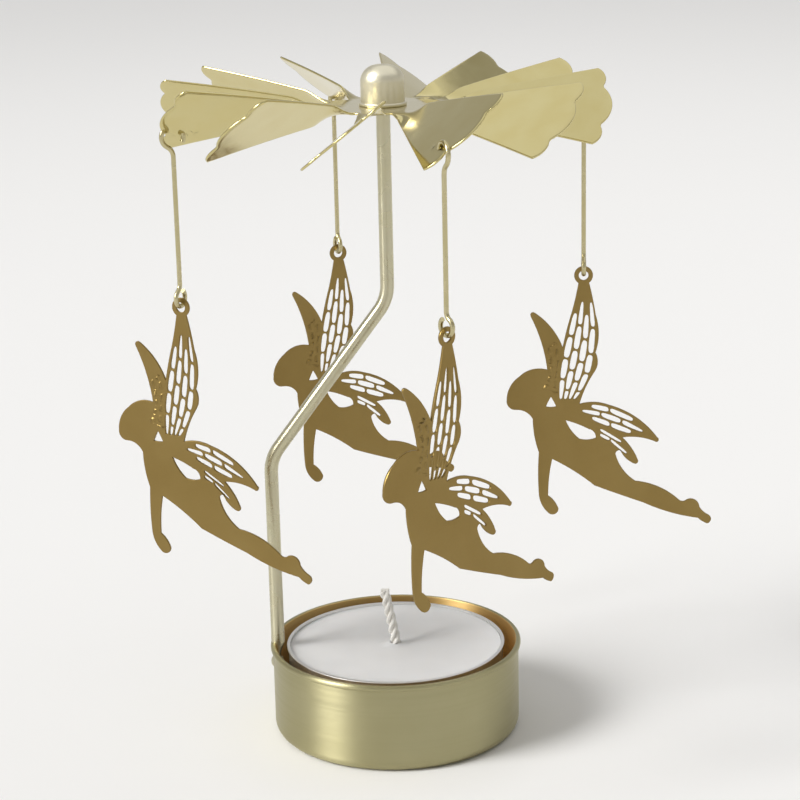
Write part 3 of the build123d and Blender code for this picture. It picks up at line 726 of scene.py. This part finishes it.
# The tealight: a foil cup, its wax and its wick
tealightSize = {"radius": 19.2, "foil": 0.3, "bottom": 0.5, "top": 15.6, "lip": 0.3, "corner": 1.0,
                "lipRound": 0.14, "underRound": 0.12, "steps": 128,
                "waxGap": 0.05, "waxTop": 15.2, "dish": 0.35, "discRadius": 6.55, "discTop": 1.15,
                "neckRadius": 1.4, "neckTop": 4.35, "wickRadius": 0.95, "wickCollar": 0.45,
                "waxCurve": ((1.25, 0.3), (1.8, 0.1), (3.0, 0.02), (9.0, 0),  # radius, height in the dish
                             (14.5, 0.03), (16.8, 0.1), (18.0, 0.2))}


def makeFoil(material):
    size = tealightSize
    radius, inner = size["radius"], size["radius"] - size["foil"]
    lip, lipUnder = radius + size["lip"], size["top"] - size["foil"]
    bottom, inside = size["bottom"], size["bottom"] + size["foil"]
    bm = bmesh.new()
    lathe(bm, ((0, bottom), (radius, bottom), (radius, lipUnder), (lip, lipUnder), (lip, size["top"]),
               (inner, size["top"]), (inner, inside), (0, inside)), size["steps"])
    roundRing(bm, radius, bottom, size["corner"], segments=4)
    roundRing(bm, inner, inside, size["corner"] - size["foil"], segments=4)
    roundRing(bm, lip, size["top"], size["lipRound"], segments=2)
    roundRing(bm, lip, lipUnder, size["underRound"], segments=2)
    evenShading(finishPiece(bm, "foilCup", "tealight", "tealight_cup", material))


def makeWax(material):
    size = tealightSize
    radius = size["radius"] - size["foil"] - size["waxGap"]
    bottom = size["bottom"] + size["foil"] + size["waxGap"]
    low, corner = size["waxTop"] - size["dish"], size["corner"]
    disc, discTop = size["discRadius"], size["discTop"]
    neck, neckTop = size["neckRadius"], size["neckTop"]
    bore = size["wickRadius"] + size["waxGap"]
    dish = [(reach, low + rise) for reach, rise in size["waxCurve"]]
    bm = bmesh.new()
    lathe(bm, ((bore, neckTop), (bore, low + size["wickCollar"]), *dish, (radius, size["waxTop"]),
               (radius, bottom + corner), (radius - corner, bottom), (disc, bottom), (disc, discTop),
               (neck, discTop), (neck, neckTop), (bore, neckTop)), size["steps"])
    finishPiece(bm, "waxFill", "tealight", "wax", material)


wickSize = {"strands": 3, "strandRadius": 0.46, "strandPlace": 0.48, "sides": 12, "pitch": 5.2,
            "turnSteps": 16, "bottom": 1.1, "lean": 11, "leanParts": 4, "leanStep": 0.4, "spare": 0.05}


def makeWick(material):
    size, (low, high) = wickSize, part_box("wick")
    length = (high.z - low.z) / millimetre + size["spare"]
    turns = length / size["pitch"]
    steps = round(turns * size["turnSteps"])
    bm = bmesh.new()
    for strand in range(size["strands"]):
        angle = strand * 2 * pi / size["strands"]
        place = (size["strandPlace"] * cos(angle), size["strandPlace"] * sin(angle), size["bottom"])
        ring = startWire(bm, size["strandRadius"], size["sides"], place, up)
        closeWire(bm, ring)
        verts = list({vert for edge in ring for vert in edge.verts})
        made = bmesh.ops.spin(bm, geom=verts + ring, cent=(0, 0, 0), axis=up, angle=turns * 2 * pi,
                              steps=steps, dvec=(0, 0, length / steps))
        closeWire(bm, [item for item in made["geom_last"] if isinstance(item, bmesh.types.BMEdge)])
    lean = Matrix.Rotation(radians(-size["lean"] / size["leanParts"]), 3, "Y")
    for part in range(size["leanParts"]):  # it leans over in a few short bends above the wax
        bend = tealightSize["waxTop"] + size["leanStep"] * part
        verts = [vert for vert in bm.verts if vert.co.z > bend]
        bmesh.ops.rotate(bm, verts=verts, cent=(0, 0, bend), matrix=lean)
    finishPiece(bm, "twistedWick", "tealight", "wick", material)


makeCup(spunBrass())
rodBrass = buffedBrass()
makePost(rodBrass)
makeRivet(rodBrass)
makeCap(tumbledBrass())
makeFan(mirrorBrass())
wireBrass, sheetBrass = drawnWire(), etchedBrass()
for number in (1, 2, 3, 4):
    makeHanger(number, wireBrass)
    makeFairy(number, sheetBrass)
makeFoil(pressedFoil())
makeWax(pouredWax())
makeWick(waxedCotton())
for slot in frame["nodes"]["wick_sustainer"].material_slots:
    slot.material = punchedTin()

# Studio: a pale floor, soft daylight and a wide key lamp from the left, a softbox overhead and a pale sky
studio = {"floor": "#F0EFED", "floorSize": 6.0, "horizon": "#F4F3F0", "zenith": "#9A9A9E", "sky": 0.42,
          "seenSky": 0.75, "aim": (0, 0, 0.06)}
lamps = (  # name, kind, place in metres, power, settings
    ("daylight", "SUN", (-0.9, -0.38, 0.9), 1.45, {"angle": radians(22)}),
    ("keyLight", "SUN", (-1.7, -0.76, 1.06), 1.65, {"angle": radians(30)}),
    ("topSoftbox", "AREA", (0.1, 0.1, 1.0), 5.2, {"shape": "RECTANGLE", "size": 1.6, "size_y": 1.6}),
)


def makeFloor():
    bm = bmesh.new()
    bmesh.ops.create_grid(bm, x_segments=8, y_segments=8, size=studio["floorSize"])
    mesh = bpy.data.meshes.new("studioFloor")
    bm.to_mesh(mesh)
    bm.free()
    # Matt wall paint: even and pale, with no glare towards the lamps
    material, tree, shader, _ = startMaterial("mattPaint", 0.0)
    fillInputs(tree, shader, {
        "Base Color": colour(studio["floor"]), "Roughness": 0.9, "Specular IOR Level": 0.1})
    mesh.materials.append(material)
    floor = bpy.data.objects.new("studioFloor", mesh)
    bpy.context.scene.collection.objects.link(floor)


def makeLamp(name, kind, place, power, settings):  # aimed at the middle of the carousel
    lamp = bpy.data.lights.new(name, kind)
    lamp.energy = power
    for setting, value in settings.items():
        setattr(lamp, setting, value)
    stand = bpy.data.objects.new(name, lamp)
    stand.location = place
    stand.rotation_euler = (Vector(studio["aim"]) - Vector(place)).to_track_quat("-Z", "Y").to_euler()
    bpy.context.scene.collection.objects.link(stand)


def makeSky():  # paler at the horizon; the camera and the bright metal see the same background
    world = bpy.data.worlds.new("studioSky")
    bpy.context.scene.world = world
    world.use_nodes = True
    tree = world.node_tree
    place = addNode(tree, "ShaderNodeTexCoord", "Generated", {})
    height = addNode(tree, "ShaderNodeSeparateXYZ", "Z", {0: place})
    seen = 0.0
    for ray in ("Is Camera Ray", "Is Glossy Ray", "Is Transmission Ray"):
        shown = addNode(tree, "ShaderNodeLightPath", ray, {})
        seen = addNode(tree, "ShaderNodeMath", 0, {0: seen, 1: shown}, operation="MAXIMUM")
    fillInputs(tree, tree.nodes["Background"], {
        "Color": addNode(tree, "ShaderNodeMix", 2, {
            0: height, 6: colour(studio["horizon"]), 7: colour(studio["zenith"])}, data_type="RGBA"),
        "Strength": addNode(tree, "ShaderNodeMapRange", "Result", {
            "Value": seen, "To Min": studio["sky"], "To Max": studio["seenSky"]})})


# Camera at the photograph's angle: place in millimetres from the foot of the cup, angles in degrees
view = {"lens": 93.5, "sensor": 36, "near": 0.01, "far": 20, "distance": 348.5, "height": 155.5,
        "pitch": 15.285, "yaw": 0.288, "roll": -1.297}


def makeCamera():
    camera = bpy.data.cameras.new("photoView")
    camera.lens, camera.sensor_width = view["lens"], view["sensor"]
    camera.clip_start, camera.clip_end = view["near"], view["far"]
    stand = bpy.data.objects.new("photoView", camera)
    stand.location = Vector((0, -view["distance"], view["height"])) * millimetre
    pitch, yaw = radians(view["pitch"]), radians(view["yaw"])
    forward = Vector((sin(yaw) * cos(pitch), cos(yaw) * cos(pitch), -sin(pitch)))
    turn = forward.to_track_quat("-Z", "Y").to_matrix() @ Matrix.Rotation(radians(view["roll"]), 3, "Z")
    stand.rotation_euler = turn.to_euler()
    bpy.context.scene.collection.objects.link(stand)
    bpy.context.scene.camera = stand


makeFloor()
for lamp in lamps:
    makeLamp(*lamp)
makeSky()
makeCamera()
bpy.context.scene.view_settings.view_transform = "Standard"
print("studio ready")
